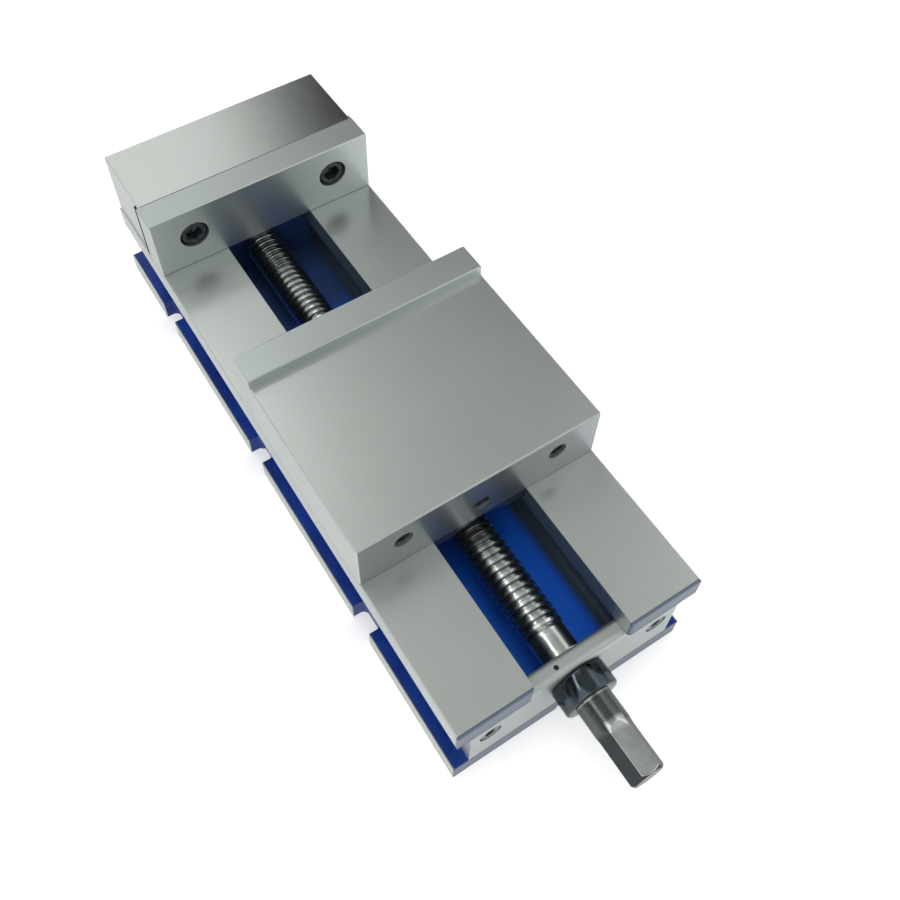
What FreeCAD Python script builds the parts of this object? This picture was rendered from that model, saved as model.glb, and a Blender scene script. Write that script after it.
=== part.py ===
import FreeCAD, Part
import math
import os
from FreeCAD import Vector

# A precision machine vise with an angle-locking movable jaw.
# Millimetres, +Z up. The origin is on the machine table, in the middle plane of the vise, under the
# gripping face of the fixed jaw. The vise opens towards -Y, where the hexagon of its screw sticks out.

# Bed casting
jaw_width = 160.0            # width of the rails and the jaw plates
bed_height = 79.0            # table to the top of the rails
rail_thickness = 16.5        # height of a rail's side
slot_width = 64.0            # gap between the two rails
cavity_width = 96.0          # width of the channel below the rails
web_span = 140.0             # over the outer faces of the two webs
base_thickness = 16.0        # clamping flange and floor
rail_reach = 357.0           # fixed gripping face to the front ends of the rails
base_setback = 1.5           # front of the base behind the rail ends
bed_back_reach = 75.5        # fixed gripping face to the back of the jaw block
flange_tail = 12.5           # the base runs this far out behind the jaw block
rear_wall_start = 26.0       # wall that carries the tail of the screw
rear_wall_thickness = 20.0
core_radius = 6.0            # cast corners of the channel
edge_break = 0.8             # ground edges
rail_nose_round = 2.5        # inner front corners of the rails

# Clamping notches in the flange
notch_width = 20.0
notch_depth = 9.0
notch_pitch = 138.0
notch_count = 3
notch_middle_y = -116.0
notch_corner = 4.0

# Keyways under the base
key_width = 16.0
key_depth = 4.0
key_run = 45.0               # of the two keyways along the middle, in from each end

# Fixed jaw block and jaw plates
jaw_height = 48.0            # plates above the rails
plate_thickness = 20.0
fixed_block_step = 1.2       # ends of the block behind the ends of its plate
relief_groove = 1.6          # undercut where the plate, the block and the rails meet
plate_screw_spacing = 104.0
plate_screw_height = 25.5    # above the rails
plate_edge_break = 0.6

# Socket head cap screws of the jaw plates
plate_screw_d = 12.0
plate_screw_head_d = 18.0
plate_screw_head_h = 12.0
plate_screw_socket = 10.0
plate_screw_socket_depth = 6.0
plate_counterbore_d = 20.5
plate_counterbore_depth = 13.0
plate_screw_grip = 16.0      # length of screw in the block
tap_run_out = 4.0            # a tapped hole is deeper than its screw

# Movable jaw
opening = 119.0              # between the plates as shown
block_depth = 120.5
block_height = 41.0          # above the rails
tongue_depth = 7.5           # the tongue that runs between the rails
tongue_corner = 3.0
tongue_arch_width = 38.0     # arch over the screw at the back of the tongue
tongue_arch_height = 6.5
slide_clearance = 0.05
block_edge_break = 1.0
outer_hole_spacing = 102.0   # tapped holes for a plate on the outer faces of both jaws
outer_hole_height = 25.0     # above the rails
outer_hole_depth = 30.0
setscrew_d = 12.0
setscrew_height = 14.0       # above the rails
setscrew_socket = 6.0
setscrew_socket_depth = 6.0
setscrew_sunk = 8.0          # behind the outer face

# Angle lock: the nut's inclined face, the half-round segment and its seat in the jaw
lock_angle = 45.0            # between the inclined face and the bed
lock_radius = 14.0
lock_height = 11.0           # centre of the segment above the rails
lock_behind_face = 71.0      # centre of the segment behind the moving gripping face
lock_flat_gap = 1.0          # between the nut's incline and the jaw beside the segment
lug_width = 44.0
lug_top = 27.0               # above the rails
lug_back = 42.0              # lug's back face behind the segment
lug_round = 2.0
pocket_side_clearance = 3.0
pocket_roof_clearance = 3.0
pocket_back_clearance = 4.0

# Nut
nut_length = 70.0
nut_front_inset = 49.0       # front of the nut behind the moving gripping face
nut_ledge_thickness = 12.0
nut_ledge_span = 90.0
nut_ledge_gap = 0.5          # under the rails
nut_core_width = 56.0
nut_bottom = 22.0            # above the table
nut_tongue_gap = 1.0
nut_foot_chamfer = 3.0

# Screw
screw_axis_height = 44.5
screw_d = 26.0
screw_running_gap = 0.08
shoulder_chamfer = 1.0
journal_d = 22.0
hex_across_flats = 19.0
hex_length = 28.0
screw_tip_reach = 61.5       # tip in front of the rail ends
tip_chamfer = 1.5
tail_d = 18.0
tail_end_play = 4.0
clip_thickness = 1.2
clip_d = 24.0
clip_groove_d = 16.6
clip_gap = 3.0

# Front plate, bush and thrust bearing
front_plate_thickness = 11.5
front_plate_corner = 4.0
front_screw_spacing = 114.0
front_screw_height = 43.0    # above the table
front_screw_d = 8.0
front_screw_head_d = 13.0
front_screw_head_h = 8.0
front_screw_socket = 6.0
front_screw_socket_depth = 4.0
front_counterbore_d = 14.0
front_counterbore_depth = 8.4
front_screw_grip = 18.0
dowel_d = 8.0
dowel_length = 20.0
dowel_height = 24.0
bush_wall = 3.0
bearing_d = 32.0
bearing_pocket_d = 33.0
bearing_height = 4.0         # two washers with a cage of needles between them
bearing_bore_gap = 0.3
bearing_gap = 0.1
oil_hole_d = 3.0
oil_hole_depth = 7.0
oil_hole_x = -11.5

# Collar
collar_d = 34.0
collar_length = 15.0
collar_gap = 0.3
collar_edge = 1.5
collar_screw_d = 6.0
collar_screw_socket = 3.0
collar_socket_depth = 3.0
collar_screw_sunk = 0.8

overrun = 1.0                # cutters run this far past a face

# Places worked out from the sizes
fixed_block_width = jaw_width - 2 * fixed_block_step
rail_top = bed_height
rail_under = bed_height - rail_thickness
rail_front = -rail_reach
base_front = rail_front + base_setback
front_plate_back = base_front + front_plate_thickness
bed_back = bed_back_reach
base_back = bed_back + flange_tail
face_y = -opening
block_front = face_y - plate_thickness
block_rear = block_front - block_depth
lock_y = face_y - lock_behind_face
lock_z = rail_top + lock_height
lock_slope = math.radians(lock_angle)
lug_rear = lock_y - lug_back
lug_roof = rail_top + lug_top
nut_front = face_y - nut_front_inset
nut_rear = nut_front - nut_length
nut_roof = rail_top - tongue_depth - nut_tongue_gap
pocket_rear = lug_rear - pocket_back_clearance
pocket_roof = lug_roof + pocket_roof_clearance
pocket_width = lug_width + 2 * pocket_side_clearance
collar_rear = base_front - collar_gap
collar_front = collar_rear - collar_length
tail_start = rear_wall_start - tail_end_play
rear_wall_end = rear_wall_start + rear_wall_thickness
screw_tail = rear_wall_end + 2 * tail_end_play
screw_tip = rail_front - screw_tip_reach
clip_front = rear_wall_end + bearing_gap
bush_d = journal_d + 2 * bush_wall
bearing_front = front_plate_back - bearing_height - bearing_gap
plate_screw_z = rail_top + plate_screw_height
outer_hole_z = rail_top + outer_hole_height
setscrew_z = rail_top + setscrew_height


def block(x0, x1, y0, y1, z0, z1):
    """A box between two corners."""
    return Part.makeBox(x1 - x0, y1 - y0, z1 - z0, Vector(x0, y0, z0))


def middle_block(width, y0, y1, z0, z1):
    """A box that is centred on the middle plane."""
    return block(-width / 2, width / 2, y0, y1, z0, z1)


def rod(d, y0, y1, x=0.0, z=screw_axis_height):
    """A round bar along Y."""
    return Part.makeCylinder(d / 2, y1 - y0, Vector(x, y0, z), Vector(0, 1, 0))


def hexagon(across_flats, y0, y1, x=0.0, z=screw_axis_height):
    """A hexagonal bar along Y with one flat on top."""
    r = across_flats / math.sqrt(3)
    points = [Vector(x + r * math.cos(math.radians(60 * i)), y0, z + r * math.sin(math.radians(60 * i)))
              for i in range(7)]
    return Part.Face(Part.makePolygon(points)).extrude(Vector(0, y1 - y0, 0))


def side_profile(points, width):
    """A closed outline of (y, z) points, made as wide as asked about the middle plane."""
    corners = [Vector(-width / 2, y, z) for y, z in points]
    return Part.Face(Part.makePolygon(corners + corners[:1])).extrude(Vector(width, 0, 0))


def edges_where(shape, test):
    """The straight edges of a shape whose two ends pass the test."""
    return [e for e in shape.Edges if len(e.Vertexes) == 2 and all(test(v.Point) for v in e.Vertexes)]


def near(a, b):
    return abs(a - b) < 1e-4


def pair(make, spacing):
    """The same thing at both sides of the middle plane."""
    return [make(side * spacing / 2) for side in (-1, 1)]


def cap_screw(d, head_d, head_h, socket, socket_depth, grip, seat_y, x, z, facing):
    """A socket head cap screw along Y; facing is the side on which its head lies, -1 or 1."""
    def span(a, b):
        return min(a, b), max(a, b)
    head = rod(head_d, *span(seat_y, seat_y + facing * head_h), x, z)
    shank = rod(d, *span(seat_y, seat_y - facing * grip), x, z)
    top = seat_y + facing * head_h
    recess = hexagon(socket, *span(top, top - facing * socket_depth), x, z)
    return head.fuse(shank).cut(recess).removeSplitter()


def screw_seat(d, head_d, face_y, head_depth, hole_depth, x, z, facing):
    """The counterbored hole for a cap screw, from the face on which its head goes in."""
    def span(a, b):
        return min(a, b), max(a, b)
    wide = rod(head_d, *span(face_y + facing * overrun, face_y - facing * head_depth), x, z)
    narrow = rod(d, *span(face_y, face_y - facing * hole_depth), x, z)
    return wide.fuse(narrow)


def blind_hole(d, face_y, depth, x, z, facing):
    """A flat-bottomed hole; facing is the side of its mouth."""
    bottom, mouth = face_y - facing * depth, face_y + facing * overrun
    return rod(d, min(mouth, bottom), max(mouth, bottom), x, z)


def outer_holes(face_y, facing):
    """The two tapped holes for a plate on the outer face of a jaw."""
    return pair(lambda x: blind_hole(plate_screw_d, face_y, outer_hole_depth, x, outer_hole_z, facing),
                outer_hole_spacing)


def notch(side, y):
    """One clamping notch in the flange, open to the outside, with cast corners."""
    outer = side * (jaw_width / 2 + overrun)
    inner = side * (jaw_width / 2 - notch_depth)
    cut = block(min(outer, inner), max(outer, inner), y - notch_width / 2, y + notch_width / 2,
                -overrun, base_thickness + overrun)
    inside = edges_where(cut, lambda p: near(p.x, inner))
    upright = [e for e in inside if near(e.Vertexes[0].Point.y, e.Vertexes[1].Point.y)]
    return cut.makeFillet(notch_corner, upright)


def channel():
    """The cavity between the webs, below the rails, with cast corners, open at both ends."""
    front = middle_block(cavity_width, front_plate_back - overrun, rear_wall_start,
                         base_thickness, rail_under)
    back = middle_block(cavity_width, rear_wall_end, bed_back + overrun, base_thickness, rail_under)
    rounded = []
    for part in (front, back):
        half = cavity_width / 2
        low = edges_where(part, lambda p: near(abs(p.x), half) and near(p.z, base_thickness))
        along = [e for e in low if not near(e.Vertexes[0].Point.y, e.Vertexes[1].Point.y)]
        rounded.append(part.makeFillet(core_radius, along))
    return rounded


def vise_body():
    """The bed casting with its rails, webs, flange and the fixed jaw block."""
    base = middle_block(jaw_width, base_front, base_back, 0, base_thickness)
    webs = middle_block(web_span, front_plate_back, bed_back, base_thickness, rail_under)
    rails = middle_block(jaw_width, rail_front, bed_back, rail_under, rail_top)
    outer = edges_where(rails, lambda p: near(abs(p.x), jaw_width / 2) and near(p.z, rail_top))
    rails = rails.makeChamfer(edge_break, [e for e in outer if e.Length > slot_width])
    jaw = middle_block(fixed_block_width, plate_thickness, bed_back, rail_top, rail_top + jaw_height)
    crest = edges_where(jaw, lambda p: near(p.z, rail_top + jaw_height))
    jaw = jaw.makeChamfer(edge_break, [e for e in crest if not near(e.CenterOfMass.y, plate_thickness)])
    body = base.fuse([webs, rails, jaw]).removeSplitter()

    slot = middle_block(slot_width, rail_front - overrun, plate_thickness, rail_under, rail_top + overrun)
    mouth = middle_block(slot_width + 2 * rail_nose_round, rail_front - overrun,
                         rail_front + rail_nose_round, rail_under, rail_top + overrun)
    nose = pair(lambda x: Part.makeCylinder(rail_nose_round, rail_thickness + overrun, Vector(
        x, rail_front + rail_nose_round, rail_under)), slot_width + 2 * rail_nose_round)
    body = body.cut(channel() + [slot, mouth.cut(nose)])

    groove = middle_block(jaw_width + 2 * overrun, plate_thickness, plate_thickness + relief_groove,
                          rail_top - relief_groove, rail_top + relief_groove)
    body = body.cut(groove)

    first = notch_middle_y - notch_pitch * (notch_count - 1) / 2
    notches = [notch(side, first + i * notch_pitch) for side in (-1, 1) for i in range(notch_count)]
    across = middle_block(jaw_width + 2 * overrun, notch_middle_y - key_width / 2,
                          notch_middle_y + key_width / 2, -overrun, key_depth)
    along = [middle_block(key_width, base_front - overrun, base_front + key_run, -overrun, key_depth),
             middle_block(key_width, base_back - key_run, base_back + overrun, -overrun, key_depth)]
    body = body.cut(notches + [across] + along)

    holes = pair(lambda x: blind_hole(plate_screw_d, plate_thickness, plate_screw_grip + tap_run_out,
                                      x, plate_screw_z, -1), plate_screw_spacing)
    holes += outer_holes(bed_back, 1)
    holes += pair(lambda x: blind_hole(front_screw_d, front_plate_back, front_screw_grip + tap_run_out,
                                       x, front_screw_height, -1), front_screw_spacing)
    holes += pair(lambda x: blind_hole(dowel_d, front_plate_back, dowel_length - front_plate_thickness / 2,
                                       x, dowel_height, -1), front_screw_spacing)
    holes.append(rod(tail_d + 2 * slide_clearance, rear_wall_start - overrun, rear_wall_end + overrun))
    return body.cut(holes).removeSplitter()


def jaw_plate(front_y, facing):
    """A hardened jaw plate; facing is the side of its gripping face."""
    back_y = front_y - facing * plate_thickness
    plate = middle_block(jaw_width, min(front_y, back_y), max(front_y, back_y),
                         rail_top, rail_top + jaw_height)
    crest = edges_where(plate, lambda p: near(p.z, rail_top + jaw_height))
    ends = edges_where(plate, lambda p: near(abs(p.x), jaw_width / 2) and near(p.y, front_y))
    upright = [e for e in ends if e.Length < plate_thickness + jaw_height and e not in crest]
    plate = plate.makeChamfer(plate_edge_break, crest + upright)
    seats = pair(lambda x: screw_seat(plate_screw_d, plate_counterbore_d, front_y, plate_counterbore_depth,
                                      plate_thickness + overrun, x, plate_screw_z, facing),
                 plate_screw_spacing)
    return plate.cut(seats)


def jaw_plate_screws(front_y, facing):
    """The two cap screws of a jaw plate."""
    seat_y = front_y - facing * plate_counterbore_depth
    grip = plate_thickness - plate_counterbore_depth + plate_screw_grip
    return Part.makeCompound(pair(lambda x: cap_screw(
        plate_screw_d, plate_screw_head_d, plate_screw_head_h, plate_screw_socket,
        plate_screw_socket_depth, grip, seat_y, x, plate_screw_z, facing), plate_screw_spacing))


def along_incline(height):
    """The place on the nut's inclined face, seen from the side, at a height above the segment's centre."""
    return lock_y + height / math.tan(lock_slope), lock_z + height


def jaw_pocket():
    """The hollow under the movable jaw: the nut's lug goes up into it and pulls on its front wall."""
    gap = lock_flat_gap / math.sin(lock_slope)
    low = rail_top - tongue_depth - overrun
    bottom_y = along_incline(low - lock_z)[0] + gap
    top_y = along_incline(pocket_roof - lock_z)[0] + gap
    outline = [(pocket_rear, low), (bottom_y, low), (top_y, pocket_roof), (pocket_rear, pocket_roof)]
    return side_profile(outline, pocket_width)


def half_round(width):
    """A half-round bar across the jaw, with its flat against the nut's incline and its back forward."""
    centre = Vector(0, lock_y, lock_z)
    bar = Part.makeCylinder(lock_radius, width, centre - Vector(width / 2, 0, 0), Vector(1, 0, 0))
    forward = Vector(0, math.sin(lock_slope), -math.cos(lock_slope))
    return bar.common(Part.makeCylinder(width, 2 * lock_radius, centre, forward))


def movable_jaw():
    """The movable jaw block with the tongue between the rails and the pocket for the lock."""
    roof = rail_top + block_height
    top = middle_block(jaw_width, block_rear, block_front, rail_top, roof)
    upper = edges_where(top, lambda p: near(p.z, roof))
    ends = edges_where(top, lambda p: near(abs(p.x), jaw_width / 2) and near(p.y, block_rear))
    upright = [e for e in ends if near(e.Length, block_height)]
    crest = [e for e in upper if not near(e.CenterOfMass.y, block_front)]
    top = top.makeChamfer(block_edge_break, crest + upright)
    tongue_width = slot_width - 2 * slide_clearance
    tongue = middle_block(tongue_width, block_rear, block_front, rail_top - tongue_depth, rail_top)
    low = edges_where(tongue, lambda p: near(p.z, rail_top - tongue_depth))
    tongue = tongue.makeFillet(tongue_corner, [e for e in low if near(e.Length, block_depth)])
    jaw = top.fuse(tongue)

    half = tongue_arch_width / 2
    arch_r = (half ** 2 + tongue_arch_height ** 2) / (2 * tongue_arch_height)
    arch_z = rail_top - tongue_depth + tongue_arch_height - arch_r
    arch = rod(2 * arch_r, block_rear - overrun, pocket_rear + overrun, 0, arch_z)
    jaw = jaw.cut([arch, jaw_pocket(), half_round(pocket_width)])

    holes = pair(lambda x: blind_hole(plate_screw_d, block_front, plate_screw_grip + tap_run_out,
                                      x, plate_screw_z, 1), plate_screw_spacing)
    holes += outer_holes(block_rear, -1)
    holes.append(rod(setscrew_d, block_rear - overrun, pocket_rear + overrun, 0, setscrew_z))
    return jaw.cut(holes).removeSplitter()


def jaw_nut():
    """The nut: a threaded core, ledges that reach under the rails and the lug with the inclined face."""
    ledge_top = rail_under - nut_ledge_gap
    core = middle_block(nut_core_width, nut_rear, nut_front, nut_bottom, nut_roof)
    ledge = middle_block(nut_ledge_span, nut_rear, nut_front, ledge_top - nut_ledge_thickness, ledge_top)
    neck = middle_block(slot_width - 2 * slide_clearance, nut_rear, nut_front, ledge_top, nut_roof)
    low_y = along_incline(nut_roof - lock_z)[0]
    high_y = along_incline(lug_roof - lock_z)[0]
    lug = side_profile([(lug_rear, nut_roof), (low_y, nut_roof), (high_y, lug_roof), (lug_rear, lug_roof)],
                       lug_width)
    sides = [e for e in lug.Edges if near(e.Length, lug_width) and near(e.CenterOfMass.z, lug_roof)]
    lug = lug.makeFillet(lug_round, sides)
    foot = edges_where(core, lambda p: near(p.z, nut_bottom))
    core = core.makeChamfer(nut_foot_chamfer, [e for e in foot if near(e.Length, nut_length)])
    bore = rod(screw_d + 2 * screw_running_gap, nut_rear - overrun, nut_front + overrun)
    return core.fuse([ledge, neck, lug]).cut(bore).removeSplitter()


def jaw_set_screw():
    """The set screw that takes up the play between the jaw and the back of the lug."""
    end = block_rear + setscrew_sunk
    screw = rod(setscrew_d - 2 * slide_clearance, end, lug_rear, 0, setscrew_z)
    return screw.cut(hexagon(setscrew_socket, end - overrun, end + setscrew_socket_depth, 0, setscrew_z))


def lead_screw():
    """The screw: hexagon for the handle, journal, threaded length and tail."""
    tip = rod(journal_d, screw_tip, screw_tip + hex_length)
    tip = tip.makeChamfer(tip_chamfer, [tip.Edges[2]])
    tip = tip.common(hexagon(hex_across_flats, screw_tip, screw_tip + hex_length))
    journal = rod(journal_d, screw_tip + hex_length, front_plate_back)
    body = rod(screw_d, front_plate_back, tail_start)
    body = body.makeChamfer(shoulder_chamfer, [body.Edges[0]])
    tail = rod(tail_d, tail_start, screw_tail)
    groove = rod(tail_d + 2 * overrun, clip_front, clip_front + clip_thickness)
    groove = groove.cut(rod(clip_groove_d, clip_front - overrun, clip_front + clip_thickness + overrun))
    return tip.fuse([journal, body, tail.cut(groove)]).removeSplitter()


def tail_clip():
    """The open retaining ring on the tail of the screw."""
    before, behind = clip_front - overrun, clip_front + clip_thickness + overrun
    ring = rod(clip_d, clip_front, clip_front + clip_thickness).cut(rod(clip_groove_d, before, behind))
    gap = middle_block(clip_gap, before, behind, screw_axis_height, screw_axis_height + clip_d)
    return ring.cut(gap)


def front_plate():
    """The bearing plate between the webs and the collar."""
    plate = middle_block(web_span, base_front, front_plate_back, base_thickness, rail_under)
    upper = edges_where(plate, lambda p: near(abs(p.x), web_span / 2) and near(p.z, rail_under))
    plate = plate.makeFillet(front_plate_corner, upper)
    cuts = [rod(bush_d, base_front - overrun, front_plate_back),
            rod(bearing_pocket_d, bearing_front, front_plate_back + overrun)]
    cuts += pair(lambda x: screw_seat(front_screw_d, front_counterbore_d, base_front, front_counterbore_depth,
                                      front_plate_thickness + overrun, x, front_screw_height, -1),
                 front_screw_spacing)
    cuts += pair(lambda x: rod(dowel_d, front_plate_back - front_plate_thickness / 2,
                               front_plate_back + overrun,
                               x, dowel_height), front_screw_spacing)
    cuts.append(Part.makeCylinder(oil_hole_d / 2, oil_hole_depth + overrun,
                                  Vector(oil_hole_x, base_front + front_plate_thickness / 2,
                                         rail_under - oil_hole_depth)))
    return plate.cut(cuts)


def front_plate_screws():
    """The two cap screws of the front plate."""
    seat_y = base_front + front_counterbore_depth
    grip = front_plate_thickness - front_counterbore_depth + front_screw_grip
    return Part.makeCompound(pair(lambda x: cap_screw(
        front_screw_d, front_screw_head_d, front_screw_head_h, front_screw_socket,
        front_screw_socket_depth, grip, seat_y, x, front_screw_height, -1), front_screw_spacing))


def front_plate_dowels():
    """The two dowel pins that place the front plate on the webs."""
    start = front_plate_back - front_plate_thickness / 2
    return Part.makeCompound(pair(lambda x: rod(dowel_d, start, start + dowel_length, x, dowel_height),
                                  front_screw_spacing))


def front_bush():
    """The plain bronze bush that carries the journal in the front plate."""
    ring = rod(bush_d, base_front, bearing_front)
    return ring.cut(rod(journal_d + 2 * slide_clearance, base_front - overrun, bearing_front + overrun))


def thrust_bearing():
    """The thrust bearing behind the front plate, as the ring that its washers and needles fill."""
    rear = bearing_front + bearing_height
    bore = rod(journal_d + 2 * bearing_bore_gap, bearing_front - overrun, rear + overrun)
    return rod(bearing_d, bearing_front, rear).cut(bore)


def screw_collar():
    """The collar that holds the screw against the front plate."""
    ring = rod(collar_d, collar_front, collar_rear)
    rims = [e for e in ring.Edges if e.Closed and near(e.CenterOfMass.y, collar_front)]
    ring = ring.makeChamfer(collar_edge, rims)
    centre = Vector(0, (collar_front + collar_rear) / 2, screw_axis_height)
    hole = Part.makeCylinder(collar_screw_d / 2, collar_d, centre, Vector(0, 0, -1))
    return ring.cut([rod(journal_d, collar_front - overrun, collar_rear + overrun), hole])


def collar_set_screw():
    """The set screw of the collar, on its underside."""
    y = (collar_front + collar_rear) / 2
    top = screw_axis_height - journal_d / 2
    low = screw_axis_height - collar_d / 2 + collar_screw_sunk
    pin = Part.makeCylinder(collar_screw_d / 2, top - low, Vector(0, y, low))
    pin = pin.cut(rod(journal_d, collar_front, collar_rear))
    r = collar_screw_socket / math.sqrt(3)
    corners = [Vector(r * math.cos(math.radians(60 * i)), y + r * math.sin(math.radians(60 * i)), low)
               for i in range(7)]
    return pin.cut(Part.Face(Part.makePolygon(corners)).extrude(Vector(0, 0, collar_socket_depth)))


nodes = {
    "vise_body": vise_body(),
    "fixed_jaw_plate": jaw_plate(0.0, -1),
    "fixed_plate_screws": jaw_plate_screws(0.0, -1),
    "movable_jaw": movable_jaw(),
    "movable_jaw_plate": jaw_plate(face_y, 1),
    "movable_plate_screws": jaw_plate_screws(face_y, 1),
    "jaw_nut": jaw_nut(),
    "lock_segment": half_round(lug_width),
    "jaw_set_screw": jaw_set_screw(),
    "lead_screw": lead_screw(),
    "tail_clip": tail_clip(),
    "front_plate": front_plate(),
    "front_plate_screws": front_plate_screws(),
    "front_plate_dowels": front_plate_dowels(),
    "front_bush": front_bush(),
    "thrust_bearing": thrust_bearing(),
    "screw_collar": screw_collar(),
    "collar_set_screw": collar_set_screw(),
}

os.makedirs("parts", exist_ok=True)
for name, shape in nodes.items():
    shape.exportStep("parts/" + name + ".step")
    box = shape.BoundBox
    print("%-22s solids %2d valid %s volume %9.0f  x %.1f..%.1f y %.1f..%.1f z %.1f..%.1f" % (
        name, len(shape.Solids), shape.isValid(), shape.Volume,
        box.XMin, box.XMax, box.YMin, box.YMax, box.ZMin, box.ZMax))
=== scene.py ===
# %% [markdown]
# # A precision machine vise in a plain studio
# The real thing is a heavy casting with ground steel parts: two rails, a fixed jaw at the back, a jaw that
# slides towards it, and a long screw that ends in a hexagon for the handle. The solids of the part are
# loaded as a fixed frame. They keep their shapes, and this script gives them their finishes and adds what is
# too fine for them: the thread of the screw, turned and milled ends, screw heads and tapped threads.
# Everything is in metres, in the frame of the part: +Z up, the vise opens towards -Y.

# %% Load the frame
import math
import bmesh
import bpy
from mathutils import Matrix, Vector


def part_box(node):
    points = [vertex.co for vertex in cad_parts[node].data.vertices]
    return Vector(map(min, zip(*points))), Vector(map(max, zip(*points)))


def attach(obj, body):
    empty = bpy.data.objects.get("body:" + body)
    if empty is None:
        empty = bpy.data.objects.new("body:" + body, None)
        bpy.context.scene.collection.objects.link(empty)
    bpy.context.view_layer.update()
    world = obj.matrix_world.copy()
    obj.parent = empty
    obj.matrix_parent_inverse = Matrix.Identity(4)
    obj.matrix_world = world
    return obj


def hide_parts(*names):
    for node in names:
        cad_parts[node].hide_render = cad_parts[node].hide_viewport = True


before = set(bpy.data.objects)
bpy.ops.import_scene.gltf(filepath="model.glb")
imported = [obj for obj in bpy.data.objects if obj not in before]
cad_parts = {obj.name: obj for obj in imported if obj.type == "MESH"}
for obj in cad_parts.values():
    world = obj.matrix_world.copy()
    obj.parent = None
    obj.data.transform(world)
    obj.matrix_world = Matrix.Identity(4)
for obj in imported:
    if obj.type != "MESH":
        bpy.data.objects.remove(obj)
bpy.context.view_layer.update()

mm = 0.001
bed_low, bed_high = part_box("vise_body")
plate_low, plate_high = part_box("fixed_jaw_plate")
screw_low, screw_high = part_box("lead_screw")
rail_top = plate_low.z
print("bed", [round(v / mm, 1) for v in (*bed_low, *bed_high)], "rails end at", round(rail_top / mm, 1), "mm")

# %% [markdown]
# ## The camera
# The picture was taken from above the front left corner, at about 0.7 m. Place, turn, focal length and shift
# were fitted once to the corners of the jaws and rails, so each of them falls on its own pixel. A camera
# looks along its own -Z, so its matrix holds the view's right, its up and the reverse of its direction.
# Depth of field stays off, because every part of the real picture is sharp.

# %% Camera
view_right = Vector((0.84693, -0.53164, -0.00754))
view_up = Vector((0.43799, 0.68955, 0.57679))
view_forward = Vector((0.30145, 0.49180, -0.81686))
camera_place = Vector((-0.17168, -0.47011, 0.61438))

camera_data = bpy.data.cameras.new("camera")
camera_data.sensor_width = 36.0
camera_data.lens = 41.6
camera_data.shift_x, camera_data.shift_y = 0.0389, -0.1
camera_data.clip_start, camera_data.clip_end = 0.01, 50.0
camera = bpy.data.objects.new("camera", camera_data)
turn = Matrix((view_right, view_up, -view_forward)).transposed().to_4x4()
camera.matrix_world = Matrix.Translation(camera_place) @ turn
bpy.context.scene.collection.objects.link(camera)
bpy.context.scene.camera = camera
print("camera", [round(v, 3) for v in camera_place], "lens", camera_data.lens)

# %% [markdown]
# ## Shader maths as Python
# A finish is a small network of nodes. Wiring it by hand hides the idea, so one class wraps an output socket
# and turns +, -, * and ** into Math nodes, also when the number stands first, and one method of the tree makes
# any other node: its type, its settings, then its sockets. Colours go through a Mix node, because a Math node
# would turn them grey. Numbers on their own stay numbers and cost no node.

# %% Sockets with operators
class Wire:
    """An output socket that can be used in an expression."""

    def __init__(self, tree, socket):
        self.tree, self.socket = tree, socket

    def maths(self, operation, a, b=0.0):
        return self.tree.node("ShaderNodeMath", {"operation": operation}, {0: a, 1: b})

    def __add__(self, other):
        return self.maths("ADD", self, other)

    def __sub__(self, other):
        return self.maths("SUBTRACT", self, other)

    def __rsub__(self, other):
        return self.maths("SUBTRACT", other, self)

    def __mul__(self, other):
        return self.maths("MULTIPLY", self, other)

    def __pow__(self, other):
        return self.maths("POWER", self, other)

    __radd__, __rmul__ = __add__, __mul__

    def size(self):
        return self.maths("ABSOLUTE", self)

    def larger(self, other):
        return self.maths("MAXIMUM", self, other)

    def smaller(self, other):
        return self.maths("MINIMUM", self, other)

    def rise(self, start, end):
        """A smooth step from 0 to 1 as this value goes from start to end, which may also be the lower one."""
        return self.tree.node("ShaderNodeMapRange", {"interpolation_type": "SMOOTHSTEP"},
                              {"Value": self, "From Min": start, "From Max": end})


class Tree:
    """The nodes of one material or of the world."""

    def __init__(self, owner):
        owner.use_nodes = True
        self.nodes, self.links = owner.node_tree.nodes, owner.node_tree.links
        self.nodes.clear()

    def node(self, kind, settings=None, sockets=None, out=0):
        node = self.nodes.new(kind)
        for name, value in (settings or {}).items():
            setattr(node, name, value)
        for key, value in (sockets or {}).items():
            if isinstance(value, Wire):
                self.links.new(value.socket, node.inputs[key])
            else:
                node.inputs[key].default_value = value
        return Wire(self, node.outputs[out])

    def mix(self, factor, a, b):
        """A colour between a and b."""
        return self.node("ShaderNodeMix", {"data_type": "RGBA"}, {0: factor, 6: a, 7: b}, out=2)

    def place(self):
        """Object coordinates and their x, y and z."""
        where = self.node("ShaderNodeTexCoord", out="Object")
        return where, [self.node("ShaderNodeSeparateXYZ", {}, {0: where}, out=axis) for axis in "XYZ"]

    def noise(self, where, scale, detail=3.0, stretch=(1.0, 1.0, 1.0)):
        """Cloudy noise; scale counts spots per metre, stretch multiplies it along each axis."""
        spread = self.node("ShaderNodeMapping", {"vector_type": "TEXTURE"},
                           {"Vector": where, "Scale": tuple(1.0 / s for s in stretch)})
        return self.node("ShaderNodeTexNoise", {"noise_dimensions": "3D"},
                         {"Vector": spread, "Scale": scale, "Detail": detail})

    def bump(self, height, distance, strength=1.0):
        return self.node("ShaderNodeBump", {}, {"Height": height, "Distance": distance, "Strength": strength})

    def surface(self, sockets):
        return self.node("ShaderNodeBsdfPrincipled", {}, sockets)

    def finish(self, shader, kind="ShaderNodeOutputMaterial"):
        self.links.new(shader.socket, self.nodes.new(kind).inputs["Surface"])


def shade(level, tint=(1.0, 1.0, 1.0)):
    """A grey level with a tint, as a colour."""
    return (*(level * c for c in tint), 1.0)


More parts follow.
